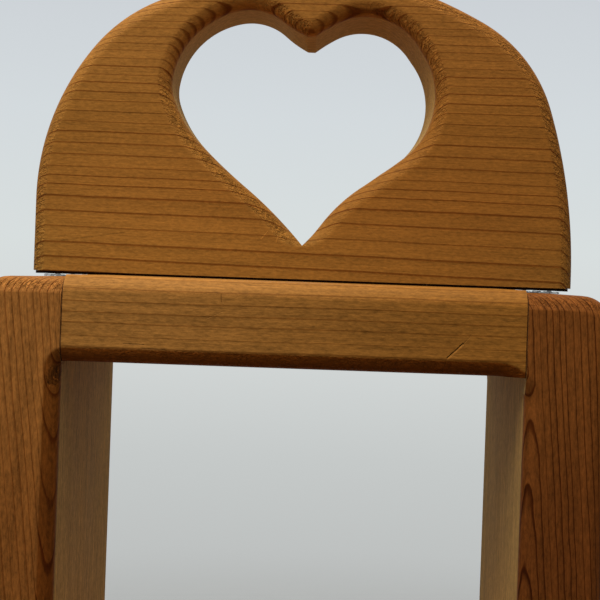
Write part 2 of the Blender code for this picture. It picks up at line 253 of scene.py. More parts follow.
def ease(tree, value, start, end, low=0.0, high=1.0):
    """Smooth step of a value, from low at start to high at end."""
    fields = {"Value": value, "From Min": start, "From Max": end, "To Min": low, "To Max": high}
    return put(tree, "MapRange", fields, interpolation_type="SMOOTHSTEP").outputs["Result"]


def cloud(tree, place, scale, detail=2.0, roughness=0.5):
    """Noise between about -1 and 1."""
    fields = {"Vector": place, "Scale": scale, "Detail": detail, "Roughness": roughness}
    return summed(tree, -1.5, (put(tree, "TexNoise", fields).outputs[0], 3.0))


def blend(tree, share, first, second, how="MIX"):
    """Mix two colours."""
    mix = put(tree, "Mix", data_type="RGBA", blend_type=how)
    places = {socket.identifier: index for index, socket in enumerate(mix.inputs)}
    feed(tree, mix, {places["Factor_Float"]: share, places["A_Color"]: first, places["B_Color"]: second})
    return next(socket for socket in mix.outputs if socket.identifier == "Result_Color")


def tinted(tree, share, colour, tint):
    """A colour, with some share of it multiplied by a tint."""
    return blend(tree, share, colour, blend(tree, 1.0, colour, (*tint, 1.0), "MULTIPLY"))


def raised(tree, relief):
    """The normal of a surface with this relief on it, in mm."""
    return put(tree, "Bump", {"Distance": MM, "Height": relief}).outputs[0]


def group(name, inputs, outputs):
    """Start a node group with named sockets, given as (name, kind, value)."""
    made = bpy.data.node_groups.new(name, "ShaderNodeTree")
    for label, kind, value in inputs:
        socket = made.interface.new_socket(label, in_out="INPUT", socket_type=f"NodeSocket{kind}")
        socket.default_value = value
    for label in outputs:
        made.interface.new_socket(label, in_out="OUTPUT", socket_type="NodeSocketFloat")
    return made, made.nodes.new("NodeGroupInput").outputs, made.nodes.new("NodeGroupOutput")


def use(tree, made, inputs):
    """Outputs of a node group placed with its own values."""
    return feed(tree, put(tree, "Group", node_tree=made), inputs).outputs


def new_finish(name):
    """A material, its node tree, its shader, and the place on the object."""
    finish = bpy.data.materials.new(name)
    finish.use_nodes = True
    tree = finish.node_tree
    return finish, tree, tree.nodes["Principled BSDF"], put(tree, "TexCoord").outputs["Object"]


ORIGIN = (0.0, 0.0, 0.0)


def ring_height_group():
    """How far a point lies across the growth rings, whose planes slant away behind the front face."""
    tree, given, result = group("ring_height", [
        ("Position", "Vector", ORIGIN), ("Grain", "Vector", ORIGIN), ("Across", "Vector", ORIGIN),
        ("Face", "Float", 0.0), ("Slant", "Float", 1.0), ("Slant Drift", "Float", 0.0),
        ("Lean", "Float", 0.0), ("Fan", "Float", 0.0), ("Wave", "Float", 0.0003),
        ("Wave Length", "Float", 0.05), ("Seed", "Float", 0.0)], ("Height", "Along", "Deep"))
    along = vector(tree, "DOT_PRODUCT", given["Position"], given["Grain"])
    across = vector(tree, "DOT_PRODUCT", given["Position"], given["Across"])
    y = put(tree, "SeparateXYZ", {0: given["Position"]}).outputs["Y"]
    deep = calc(tree, "SUBTRACT", y, given["Face"])
    slant = summed(tree, given["Slant"], (along, given["Slant Drift"]))
    lean = summed(tree, given["Lean"], (across, given["Fan"]))
    height = summed(tree, across, (slant, deep), (along, lean))
    turns = calc(tree, "DIVIDE", along, given["Wave Length"])
    slow = combined(tree, turns, times(tree, deep, 60.0), summed(tree, given["Seed"], (height, 45.0)))
    kinks = combined(tree, times(tree, turns, 6.0), times(tree, deep, 200.0),
                     summed(tree, given["Seed"], (height, 300.0)))
    wave = summed(tree, cloud(tree, slow, 1.0, 2.0, 0.4), (cloud(tree, kinks, 1.0, 2.0, 0.6), 0.4))
    height = summed(tree, height, (wave, given["Wave"]))
    feed(tree, result, {"Height": height, "Along": along, "Deep": deep})
    return tree


def growth_rings_group():
    """Dark latewood lines at whole counts, each growing slowly darker and ending sharply, and faint
    growth bands between them."""
    tree, given, result = group("growth_rings", [("Count", "Float", 0.0), ("Line Share", "Float", 0.15)],
                                ("Latewood", "Tone", "Ripening", "Bands"))
    part = calc(tree, "FRACT", given["Count"])
    band = calc(tree, "FLOOR", given["Count"])
    tone = put(tree, "TexWhiteNoise", {"W": band}, noise_dimensions="1D").outputs["Value"]
    nearest = calc(tree, "ADD", calc(tree, "ROUND", given["Count"]), 0.5)
    chance = put(tree, "TexWhiteNoise", {"W": nearest}, noise_dimensions="1D").outputs["Value"]
    width = times(tree, given["Line Share"], summed(tree, 0.75, (chance, 0.5)))
    rise = ease(tree, part, summed(tree, 1.0, (width, -1.9)), summed(tree, 1.0, (width, -0.25)))
    tail = ease(tree, part, times(tree, width, 0.15), times(tree, width, 0.7), 1.0, 0.0)
    fine = put(tree, "TexNoise", {"W": given["Count"], "Scale": 7.0, "Detail": 3.0, "Roughness": 0.8},
               noise_dimensions="1D").outputs[0]
    feed(tree, result, {
        "Latewood": times(tree, calc(tree, "MAXIMUM", rise, tail), summed(tree, 0.65, (chance, 0.35))),
        "Tone": calc(tree, "SUBTRACT", tone, 0.5), "Ripening": calc(tree, "POWER", part, 2.0),
        "Bands": summed(tree, -1.5, (fine, 3.0))})
    return tree


def fibre_group():
    """Fine streaks along the grain, pores, short flecks, and broad blotches where the finish sank in."""
    tree, given, result = group("pine_fibre", [
        ("Position", "Vector", ORIGIN), ("Stretch", "Vector", ORIGIN), ("Seed", "Float", 0.0)],
        ("Streak", "Pore", "Fleck", "Blotch"))
    moved = vector(tree, "ADD", vector(tree, "MULTIPLY", given["Position"], given["Stretch"]), given["Seed"])
    least = vector(tree, "MAXIMUM", given["Stretch"], (0.35, 0.35, 0.35))
    short = vector(tree, "MULTIPLY", given["Position"], least)
    feed(tree, result, {
        "Streak": cloud(tree, moved, 900.0, 3.0, 0.65), "Pore": cloud(tree, moved, 3200.0, 1.0, 0.5),
        "Fleck": cloud(tree, short, 1900.0, 3.0, 0.7), "Blotch": cloud(tree, moved, 60.0, 2.0, 0.5)})
    return tree


def torn_group():
    """Curled fibres that the bit tore on the routed edges, along the slanting rings, worse in some places."""
    tree, given, result = group("torn_fibre", [
        ("Height", "Float", 0.0), ("Along", "Float", 0.0), ("Deep", "Float", 0.0), ("Seed", "Float", 0.0)],
        ("Gap", "Ridge"))
    place = combined(tree, summed(tree, given["Seed"], (given["Along"], 950.0)),
                     times(tree, given["Height"], 1600.0), times(tree, given["Deep"], 800.0))
    curled = put(tree, "TexNoise", {"Vector": place, "Scale": 1.0, "Detail": 2.0, "Roughness": 0.6,
                                    "Distortion": 0.9}).outputs[0]
    stroke = summed(tree, -1.5, (curled, 3.0))
    worse = ease(tree, cloud(tree, place, 0.22, 1.0, 0.5), -0.5, 0.5, 0.45, 1.0)
    feed(tree, result, {"Gap": times(tree, ease(tree, stroke, 0.04, 0.34), worse),
                        "Ridge": times(tree, ease(tree, stroke, -0.02, -0.34), worse)})
    return tree


def knot_group():
    """A small knot: how strongly it pushes the rings aside, its dark middle, and bright specks on it that are
    painted glints.
    """
    tree, given, result = group("knot", [
        ("Position", "Vector", ORIGIN), ("Centre", "Vector", ORIGIN), ("Reach", "Float", 0.003)],
        ("Push", "Core", "Speck"))
    offset = vector(tree, "SUBTRACT", given["Position"], given["Centre"])
    ratio = calc(tree, "DIVIDE", vector(tree, "LENGTH", vector(tree, "MULTIPLY", offset, (1.0, 0.6, 0.7))),
                 given["Reach"])
    away = times(tree, times(tree, ratio, ratio), -0.5)
    ragged = summed(tree, ratio, (cloud(tree, offset, 1300.0, 3.0, 0.7), 0.6))
    speck = ease(tree, cloud(tree, offset, 1500.0, 1.0, 0.5), 0.5, 0.75)
    feed(tree, result, {
        "Push": calc(tree, "POWER", 2.718, away), "Core": ease(tree, ragged, 1.1, 0.5),
        "Speck": times(tree, speck, ease(tree, ratio, 1.4, 0.6))})
    return tree


def scratch_group():
    """A straight scratch between two points, one at its middle and nothing beyond its edges."""
    tree, given, result = group("scratch", [
        ("Position", "Vector", ORIGIN), ("Start", "Vector", ORIGIN), ("Run", "Vector", SIDEWAYS),
        ("Half Width", "Float", 0.0003)], ("Depth",))
    offset = vector(tree, "SUBTRACT", given["Position"], given["Start"])
    length = vector(tree, "DOT_PRODUCT", given["Run"], given["Run"])
    share = calc(tree, "DIVIDE", vector(tree, "DOT_PRODUCT", offset, given["Run"]), length)
    held = put(tree, "Clamp", {0: share}).outputs[0]
    foot = put(tree, "VectorMath", {0: given["Run"], "Scale": held}, operation="SCALE").outputs[0]
    frayed = times(tree, given["Half Width"], 0.35)
    away = summed(tree, vector(tree, "DISTANCE", offset, foot), (cloud(tree, offset, 1500.0), frayed))
    feed(tree, result, {"Depth": ease(tree, away, given["Half Width"], 0.0)})
    return tree


UP = (0.0, 0.0, 1.0)
SIDEWAYS = (1.0, 0.0, 0.0)
ring_height = ring_height_group()
growth_rings = growth_rings_group()
pine_fibre = fibre_group()
torn_fibre = torn_group()
knot = knot_group()
scratch = scratch_group()


def ring_count(tree, height, lines):
    """Rings passed at a height. The dark lines lie at the given heights in mm, and evenly beyond them."""
    low, high = lines[0] * MM, lines[-1] * MM
    spacing = (high - low) / (len(lines) - 1)
    held = put(tree, "Clamp", {"Value": height, "Min": low, "Max": high}).outputs[0]
    curve = put(tree, "FloatCurve", {"Factor": 1.0, "Value": put(
        tree, "MapRange", {"Value": held, "From Min": low, "From Max": high}).outputs["Result"]})
    points = curve.mapping.curves[0].points
    while len(points) < len(lines):
        points.new(0.5, 0.5)
    for index, (point, line) in enumerate(zip(points, lines)):
        point.location = ((line * MM - low) / (high - low), index / (len(lines) - 1))
        point.handle_type = "VECTOR"
    curve.mapping.update()
    beyond = calc(tree, "DIVIDE", calc(tree, "SUBTRACT", height, held), spacing)
    drift = put(tree, "TexNoise", {"W": times(tree, beyond, 0.4), "Scale": 1.0, "Detail": 1.0},
                noise_dimensions="1D").outputs[0]
    uneven = times(tree, calc(tree, "SUBTRACT", drift, 0.5),
                   calc(tree, "MINIMUM", calc(tree, "ABSOLUTE", beyond), 2.0))
    return calc(tree, "ADD", summed(tree, beyond, (curve.outputs[0], len(lines) - 1.0)), uneven)


# Painted sheen: the pale, greyer wall colour partly stands in for the pale surround that the walls reflect at
# a grazing angle.
BARE_AND_SHEEN = (0.59, 0.365, 0.105)    # the walls of the openings took less varnish, and are paler; part of that paler tone is painted sheen
BARE_OWN = 0.3                 # share of the wood's own colour there
BARE_LINES = -0.8              # and what its dark lines lose
VARNISH_ROUGH = 0.5
BARE_ROUGH = 0.74
TORN_ROUGH = 0.2               # more than this where the fibre is torn
VARNISH = {"IOR": 1.25, "Specular IOR Level": 0.25, "Specular Tint": (1.0, 0.75, 0.48, 1.0)}
WALL_TURN = (0.3, 0.05)        # how much a surface faces front or back where it starts to count as a wall
CREASE_TURN = (0.997, 0.95)    # and where a routed edge leaves the face
BEARING_TURN = (0.02, 0.15)    # and meets the wall
AGAINST_LEFT, AGAINST_RIGHT = -0.22, 0.12      # upright edges tear too, and more on the left
PORE_TONE, BLOTCH_TONE, RING_TONE, RIPE_TONE = 0.07, 0.07, 0.06, -0.05    # how much paler each one is
# Painted shadow darkens the gaps between torn fibres, and painted highlight lightens their ridges.
GAP_SHADOW_TONE, RIDGE_HIGHLIGHT_TONE, TORN_TONE = -0.3, 0.42, 0.1
# The knot's bright specks are painted glints.
KNOT_TONE, SPECK_GLINT_TONE = -0.6, 1.1
DARKEST = 0.08
LINE_RISE, STREAK_RISE, PORE_RISE, FLECK_RISE = 0.015, 0.012, 0.006, 0.012    # and how proud it is, in mm
GAP_RISE, RIDGE_RISE = -0.24, 0.22
CURL = (0.35, 0.6, 1.0)        # the sanded face ripples across its grain


def on_board(place, face):
    """Metres for a place or a run in mm, its middle number counted from the face."""
    x, deep, z = place
    return x * MM, face + deep * MM, z * MM


def pine(name, early, late, lines, across, grain, face, slant=1.0, drift=0.0, lean=0.0, fan=0.0,
         wave=0.3 * MM, wave_length=50 * MM, share=0.1, widen=0.0, strength=1.0, edge=0.0, bands=0.06,
         streaks=0.1, flecks=0.1, torn=0.0, torn_ends=0.0, torn_under=0.0, ripple=0.0, fades=(),
         painted_edge_shade=None, middle=None, knots=(), scratches=(), seed=0.0):
    """Varnished pine cut from one board: early and late wood colours, where its dark lines lie, and how
    its rings run. Lines, fades, knots and scratches are given in mm."""
    finish, tree, shader, position = new_finish(name)
    lay = use(tree, ring_height, {
        "Position": position, "Grain": grain, "Across": across, "Face": face, "Slant": slant,
        "Slant Drift": drift, "Lean": lean, "Fan": fan, "Wave": wave, "Wave Length": wave_length,
        "Seed": seed})
    height = lay["Height"]
    swirls = [use(tree, knot, {"Position": position, "Centre": on_board(place, face), "Reach": reach * MM})
              for place, reach, _ in knots]
    for swirl, (_, _, push) in zip(swirls, knots):
        height = summed(tree, height, (swirl["Push"], push * MM))

    normal = put(tree, "NewGeometry").outputs["Normal"]
    facing = put(tree, "SeparateXYZ", {0: normal}).outputs
    flat = calc(tree, "ABSOLUTE", facing["Y"])
    wall = ease(tree, flat, *WALL_TURN, 0.0, 1.0 if middle else 0.0)
    if middle:
        inward = vector(tree, "DOT_PRODUCT", normal, vector(tree, "SUBTRACT", position, middle))
        wall = times(tree, wall, ease(tree, inward, MM, -MM))
    routed = times(tree, ease(tree, flat, *CREASE_TURN), ease(tree, flat, *BEARING_TURN))
    under = times(tree, ease(tree, flat, 0.99, 0.8), ease(tree, facing["Z"], 0.05, -0.3))
    under = times(tree, under, ease(tree, facing["X"], -0.4, 0.0))
    rings = use(tree, growth_rings, {"Count": ring_count(tree, height, lines),
                                     "Line Share": summed(tree, share, (under, share * widen))})
    stretch = tuple(0.05 if along else 1.0 for along in grain)
    fibre = use(tree, pine_fibre, {"Position": position, "Stretch": stretch, "Seed": seed})
    tears = use(tree, torn_fibre, {"Height": height, "Along": lay["Along"], "Deep": lay["Deep"],
                                   "Seed": seed})

    sideways = calc(tree, "MAXIMUM", times(tree, facing["X"], AGAINST_LEFT),
                    times(tree, facing["X"], AGAINST_RIGHT))
    against = summed(tree, sideways, (facing["X"], facing["Z"]))
    end = calc(tree, "ABSOLUTE", vector(tree, "DOT_PRODUCT", normal, grain))
    rough = calc(tree, "MAXIMUM", ease(tree, against, -0.1, 0.25, 0.0, torn),
                 ease(tree, end, 0.25, 0.6, 0.0, torn_ends))
    rough = calc(tree, "MAXIMUM", rough, ease(tree, facing["Z"], 0.0, -0.25, 0.0, torn_under))
    lip = calc(tree, "SUBTRACT", flat, ease(tree, facing["Z"], 0.0, 0.25, 0.0, 0.24))
    rough = times(tree, rough, times(tree, routed, ease(tree, lip, 0.3, 0.6, 0.2, 1.0)))
    gap, ridge = times(tree, tears["Gap"], rough), times(tree, tears["Ridge"], rough)

    shade = summed(tree, 1.0, (fibre["Streak"], streaks), (fibre["Pore"], PORE_TONE),
                   (fibre["Fleck"], flecks), (rings["Bands"], bands), (fibre["Blotch"], BLOTCH_TONE),
                   (rings["Tone"], RING_TONE), (rings["Ripening"], RIPE_TONE), (gap, GAP_SHADOW_TONE),
                   (ridge, RIDGE_HIGHLIGHT_TONE), (rough, TORN_TONE))
    relief = summed(tree, 0.0, (rings["Latewood"], LINE_RISE), (fibre["Streak"], STREAK_RISE),
                    (fibre["Pore"], PORE_RISE), (fibre["Fleck"], FLECK_RISE), (gap, GAP_RISE),
                    (ridge, RIDGE_RISE))
    if ripple:
        curl = cloud(tree, vector(tree, "MULTIPLY", position, CURL), 900.0, 2.0, 0.5)
        relief = summed(tree, relief, (curl, ripple))
    # Each knot darkens its middle and lightens its specks, which are painted glints.
    for swirl in swirls:
        shade = summed(tree, shade, (swirl["Core"], KNOT_TONE), (swirl["Speck"], SPECK_GLINT_TONE))
    for start, run, half, depth, paler in scratches:
        cut = use(tree, scratch, {"Position": position, "Start": on_board(start, face),
                                  "Run": on_board(run, 0.0), "Half Width": half * MM})["Depth"]
        relief = summed(tree, relief, (cut, -depth))
        shade = summed(tree, shade, (cut, paler))
    shade = calc(tree, "MAXIMUM", shade, DARKEST)

    line_tone = times(tree, summed(tree, strength, (routed, edge)), summed(tree, 1.0, (wall, BARE_LINES)))
    colour = blend(tree, times(tree, rings["Latewood"], line_tone), (*early, 1.0), (*late, 1.0))
    for way, start, stop, tint in fades:
        colour = tinted(tree, ease(tree, lay[way], start * MM, stop * MM), colour, tint)
    # Painted shade: routed edges that face sideways or down are darkened with this tint, for their turning
    # away from the light above.
    if painted_edge_shade:
        colour = tinted(tree, times(tree, routed, ease(tree, facing["Z"], 0.35, 0.0)), colour, painted_edge_shade)
    # The walls take the paler tone, partly painted sheen.
    colour = blend(tree, wall, colour, blend(tree, BARE_OWN, (*BARE_AND_SHEEN, 1.0), colour))
    grey = put(tree, "CombineColor", {0: shade, 1: shade, 2: shade}).outputs[0]
    roughness = ease(tree, wall, 0.0, 1.0, VARNISH_ROUGH, BARE_ROUGH)
    feed(tree, shader, {
        "Base Color": blend(tree, 1.0, colour, grey, "MULTIPLY"), "Normal": raised(tree, relief),
        "Roughness": summed(tree, roughness, (fibre["Blotch"], 0.04), (rough, TORN_ROUGH)), **VARNISH})
    return finish


OPENING_MIDDLE = (0.0, 0.0, SIDE_TOP / 2)
PAINTED_FALLOFF = (298, 245)    # painted shade: the sides grow darker downward between these heights, in mm, for light that falls off lower down
LEFT_LINES = (-37.0, -35.4, -33.7, -31.9, -30.2, -28.5, -27.0, -25.4, -23.9, -22.4, -20.9, -19.3, -18.0)
RIGHT_LINES = (72.8, 74.2, 75.6, 77.1, 78.6, 80.0, 81.5, 82.6, 84.4, 85.9, 87.4, 88.9)
LEFT_KNOT = ((-51.9, 1.0, 282.7), 1.9, 1.0)    # place, reach, and how far it pushes the rings, in mm
# Painted shade darkens the left side's routed edges where they face sideways or down.
left_pine = pine("pine_left_side", (0.40, 0.155, 0.034), (0.17, 0.045, 0.006), LEFT_LINES, SIDEWAYS, UP,
                 FRONT_Y, slant=-1.05, lean=0.115, wave=0.4 * MM, seed=3.1, share=0.09, strength=0.72,
                 edge=0.35, middle=OPENING_MIDDLE, bands=0.3, streaks=0.34, flecks=0.52, torn_ends=1.2,
                 painted_edge_shade=(0.6, 0.48, 0.34), fades=(("Along", *PAINTED_FALLOFF, (0.74, 0.66, 0.61)),), knots=(LEFT_KNOT,))
right_pine = pine("pine_right_side", (0.24, 0.076, 0.0145), (0.07, 0.014, 0.0015), RIGHT_LINES, SIDEWAYS, UP,
                  FRONT_Y, slant=1.2, lean=0.08, wave=0.45 * MM, wave_length=50 * MM, seed=8.4, share=0.095,
                  middle=OPENING_MIDDLE, strength=1.0, bands=0.26, streaks=0.36, flecks=0.5, torn_ends=1.0,
                  fades=(("Along", *PAINTED_FALLOFF, (0.68, 0.61, 0.60)),))
side_board("left_side", -1, left_pine)
side_board("right_side", 1, right_pine)

# Cross boards
# Four golden pine boards between the sides, their grain running across. The bit rounded each one along the
# openings, and its cut fades out near the right ends, where the bearing meets the corner.

END_REACH = 12.0 * MM


def board_levels(low, high):
    """Heights of a cross board's grid lines."""
    insets = edge_stops()
    face = np.linspace(low + insets[-1], high - insets[-1], FACE_STEPS + 1)[1:-1]
    return np.concatenate((low + insets, face, high - insets[::-1]))


def cross_board(node, finish):
    low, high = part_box(node)
    half = high.x
    ends = list(np.arange(half - END_REACH, half, CORNER_STEP)) + [half]
    middle = list(np.arange(-half + END_REACH, half - END_REACH, ROW_STEP))
    stations = thinned(middle + ends + [-x for x in ends])
    grid = np.array([[(x, z) for z in board_levels(low.z, high.z)] for x in stations])
    cut = frame_cut(grid, FRAME_TOP)
    return dress(skin(node, laid(grid, FRONT_Y + cut), laid(grid, BACK_Y - cut)), finish, node)


TOP_LINES = (284.0, 286.6, 289.4, 291.8, 294.75, 297.0, 299.4, 302.2, 305.1)
BOARD_SHIFT = 0.9              # each lower board has its dark lines this much higher, in mm
TOP_SCRATCHES = (  # start, run, half width and depth in mm, and how much paler the scratch is
    ((33.5, 0.0, 289.5), (3.3, 0.0, 3.2), 0.32, 0.28, 0.15),
    ((36.9, 0.0, 292.8), (1.5, 0.0, 1.7), 0.12, 0.05, -0.1),
    ((-19.1, 0.0, 296.2), (3.5, 0.0, 1.7), 0.11, 0.04, 0.2),
    ((-16.0, 0.0, 299.9), (-0.1, 0.0, 1.9), 0.14, 0.10, -0.35),
    ((46.0, 0.0, 298.0), (1.6, 0.0, 0.0), 0.22, 0.0, -0.25),
    ((4.0, 0.0, 295.4), (0.25, 0.0, 0.0), 0.25, 0.0, -0.35),
    ((11.3, 0.0, 295.0), (0.25, 0.0, 0.0), 0.25, 0.0, -0.35),
    ((-37.0, 0.0, 290.2), (4.5, 0.0, -0.1), 0.16, 0.08, -0.4),
    ((-33.0, 0.0, 289.3), (5.0, 0.0, -0.1), 0.14, 0.08, -0.3))
# Painted shade darkens each cross board's routed edges where they face sideways or down.
for index, node in enumerate(CROSS_BOARDS):
    top = node == "top_board"
    shift = (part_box(node)[1].z - FRAME_TOP) / MM + (0.0 if top else BOARD_SHIFT * index)
    board_pine = pine(f"pine_{node}", (0.43, 0.185, 0.040), (0.22, 0.07, 0.010),
                      [line + shift for line in TOP_LINES], UP, SIDEWAYS, FRONT_Y, slant=0.35,
                      wave=0.25 * MM, wave_length=60 * MM, seed=12.3 + 4.7 * index, share=0.065,
                      strength=0.65, bands=0.12, torn_under=0.45, streaks=0.28, flecks=0.46, ripple=0.034,
                      fades=(("Along", -45, 50, (0.77, 0.71, 0.55)),),
                      painted_edge_shade=(0.61, 0.38, 0.21), scratches=TOP_SCRATCHES if top else ())
    cross_board(node, board_pine)

# Heart crest
# A flat-sawn pine offcut with its rings standing out as dark lines. The arch was band-sawn, and the heart cut
# by hand with a blade that leaned in the lobes. Both edges were routed, and the bit tore the end grain.

CREST_LOW, CREST_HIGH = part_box("heart_crest")
CREST_BIT = 3.5 * MM
CREST_START = (-69.83 * MM, 0.0)
CREST_STRAIGHT = 18.8 * MM
CREST_ARCS = (  # radius in mm and turn in degrees, from the left side over the top to the right
    (64.2, 38.3), (41.7, 26.4), (105.9, 18.3), (79.1, 24.6), (117.9, 10.5), (38.2, 44.3), (143.6, 17.6))
CREST_OVERRUN = 20.0 * MM
HEART_TIP = (-0.3 * MM, 8.65 * MM)
# The heading at which each half of the heart leaves its tip, and then its arcs up to the cusp.
HEART_LEFT = (130.1, ((105.3, -11.3), (151.5, 6.2), (30.8, 26.3), (11.1, 27.1), (20.9, 70.1), (14.1, 52.3),
                      (28.4, -14.6)))
HEART_RIGHT = (43.8, ((29.9, 12.1), (42.4, -21.1), (102.3, 7.4), (19.6, 84.6), (96.0, -1.3), (15.1, 83.8),
                      (41.0, 9.2)))
HEART_CENTRE = np.array((-1.5 * MM, 45.0 * MM))
BLADE_LEAN = np.array((1.2 * MM, 1.45 * MM))   # how much further the blade reached at the front
CREST_RAYS = 420
OUTLINE_STEP = 0.6 * MM
RAY_SAMPLES = 240


def follow(start, heading, straight, arcs, turn_sign):
    """Points along a straight and then a chain of tangent arcs."""
    x, z = start
    angle = math.radians(heading)
    points = [(x, z)]
    moves = [(straight, 0.0)] if straight else []
    for radius, turn in arcs:
        moves.append((radius * MM * math.radians(abs(turn)), turn_sign * math.radians(turn)))
    for length, turn in moves:
        count = max(1, round(length / OUTLINE_STEP))
        for _ in range(count):
            angle += turn / count / 2
            x += length / count * math.cos(angle)
            z += length / count * math.sin(angle)
            angle += turn / count / 2
            points.append((x, z))
    return np.array(points)


def leaned(points, lean):
    """An outline of the heart where the leaning blade came out, pushed away from the heart's middle."""
    away = points - HEART_CENTRE
    away = away / np.linalg.norm(away, axis=1)[:, None]
    return points + np.maximum(0.0, away @ lean)[:, None] * away


def bearing_track(half, hand):
    """The line that the bearing's centre follows inside one half of the heart."""
    along = np.gradient(half, axis=0)
    along /= np.linalg.norm(along, axis=1)[:, None]
    return half + hand * BEARING_R * np.column_stack((along[:, 1], -along[:, 0]))


def distance_to(points, line):
    """Least distance from each point to a polyline."""
    start, run = line[:-1], np.diff(line, axis=0)
    offset = points[:, None, :] - start[None]
    share = np.clip((offset * run).sum(2) / (run * run).sum(1), 0.0, 1.0)
    return np.linalg.norm(offset - share[..., None] * run[None], axis=2).min(1)


def meeting_tracks(left, right):
    """Both tracks from where they meet above the tip, as far down as the bearing can go."""
    gap = np.linalg.norm(left[:, None] - right[None], axis=2)
    gap[len(left) // 2:] = np.inf
    i, j = np.unravel_index(gap.argmin(), gap.shape)
    return left[i:], right[j:]


def ray_length(angle, loop):
    """How far out a ray from the heart's middle crosses a closed outline."""
    ray = np.array((math.cos(angle), math.sin(angle)))
    a = loop - HEART_CENTRE
    b = np.roll(a, -1, axis=0)
    side_a, side_b = ray[0] * a[:, 1] - ray[1] * a[:, 0], ray[0] * b[:, 1] - ray[1] * b[:, 0]
    crossing = (side_a > 0) != (side_b > 0)
    share = side_a[crossing] / (side_a[crossing] - side_b[crossing])
    reach = (a[crossing] + share[:, None] * (b[crossing] - a[crossing])) @ ray
    return reach[reach > 0].max()


arch = follow(CREST_START, 90.0, CREST_STRAIGHT, CREST_ARCS, -1)
crest_edge = np.vstack(([(CREST_START[0], -CREST_OVERRUN)], arch, [(arch[-1][0], -CREST_OVERRUN)]))
heart_left = follow(HEART_TIP, HEART_LEFT[0], 0.0, HEART_LEFT[1], -1)
heart_right = follow(HEART_TIP, HEART_RIGHT[0], 0.0, HEART_RIGHT[1], 1)


def crest_ray(angle, heart, tracks):
    """Grid points along one ray and the depth at each, from the heart's wall to the crest's edge."""
    direction = np.array((math.cos(angle), math.sin(angle)))
    near, far = ray_length(angle, heart), ray_length(angle, crest_edge)
    reach = np.linspace(near, far, RAY_SAMPLES)
    points = HEART_CENTRE + reach[:, None] * direction
    to_heart = np.min([distance_to(points, track) for track in tracks], axis=0) - BEARING_R
    to_edge = distance_to(points, crest_edge)
    middle = RAY_SAMPLES // 2
    stops = np.append(bit_stops(CREST_BIT), CREST_BIT + 1.5 * CREASE_EASE)
    first = np.clip(to_heart[0], 0.0, 0.9 * CREST_BIT)
    inner = np.interp(first + stops * (CREST_BIT - first) / CREST_BIT, to_heart[:middle], reach[:middle])
    inner[0] = near
    outer = np.interp(stops, to_edge[::-1][:middle], reach[::-1][:middle])[::-1]
    outer[-1] = far
    row = np.concatenate((inner, np.linspace(inner[-1], outer[0], 2 * FACE_STEPS)[1:-1], outer))
    depth = np.maximum(bit_depth(np.interp(row, reach, to_edge), CREST_BIT),
                       bit_depth(np.interp(row, reach, to_heart), CREST_BIT))
    return HEART_CENTRE + row[:, None] * direction, depth


def crest_angles():
    """Even rays, with one through the heart's tip and one through each corner of its blunt cusp."""
    marks = [math.atan2(*(np.array(point) - HEART_CENTRE)[::-1]) % math.tau
             for point in (HEART_TIP, heart_left[-1], heart_right[-1])]
    spacing = math.tau / CREST_RAYS
    even = [spacing * i for i in range(CREST_RAYS)]
    return sorted([a for a in even if all(abs(a - mark) > 0.4 * spacing for mark in marks)] + marks)


def crest_face(lean):
    """Grid and routed depths of the front or the back of the crest."""
    left, right = leaned(heart_left, lean), leaned(heart_right, lean)
    tracks = list(meeting_tracks(bearing_track(left, 1), bearing_track(right, -1)))
    tracks.append(np.array((left[-1], right[-1])) - (0.0, BEARING_R))
    heart = np.vstack((left, right[::-1]))
    rays = [crest_ray(angle, heart, tracks) for angle in crest_angles()]
    return np.array([points for points, _ in rays]), np.array([depth for _, depth in rays])


def heart_crest(finish):
    front, front_cut = crest_face(BLADE_LEAN)
    back, back_cut = crest_face(0.0 * BLADE_LEAN)
    front, back = laid(front, CREST_LOW.y + front_cut), laid(back, CREST_HIGH.y - back_cut)
    mesh = skin("heart_crest", front, back, ring=True)
    shell = bmesh.new()
    shell.from_mesh(mesh)
    sawn = bmesh.ops.bisect_plane(shell, geom=shell.verts[:] + shell.edges[:] + shell.faces[:],
                                  plane_co=(0, 0, 0), plane_no=(0, 0, -1), clear_outer=True)
    cut_edges = [item for item in sawn["geom_cut"] if isinstance(item, bmesh.types.BMEdge)]
    bmesh.ops.edgeloop_fill(shell, edges=cut_edges)
    bmesh.ops.recalc_face_normals(shell, faces=shell.faces)
    for vert in shell.verts:
        vert.co.z = min(CREST_HIGH.z, vert.co.z + CREST_LOW.z)
    shell.to_mesh(mesh)
    shell.free()
    return dress(mesh, finish, "heart_crest")


CREST_LINES = (304.4, 308.2, 312.1, 316.3, 320.4, 324.35, 327.4, 329.7, 332.1, 335.35, 338.4, 341.4, 344.0,
               346.8, 349.6, 352.0, 354.5, 356.5, 358.8, 360.9, 363.0, 364.9, 366.7, 369.0, 370.8, 372.5,
               374.5, 376.3, 378.4, 380.2, 382.3)
CREST_SCRATCHES = (
    ((-62.0, 0.0, 313.3), (16.0, 0.0, 2.6), 0.35, 0.0, -0.28),
    ((-37.2, 1.2, 351.5), (0.5, 0.0, 0.0), 0.45, -0.05, 0.9),
    ((-69.4, 1.6, 306.7), (1.7, -0.6, 0.0), 0.35, 0.2, -0.6),
    ((-10.8, 0.0, 315.4), (1.6, 0.0, 2.0), 0.13, -0.05, 0.9),
    ((-6.9, 0.0, 314.6), (0.4, 0.0, 1.9), 0.12, -0.05, 0.9))
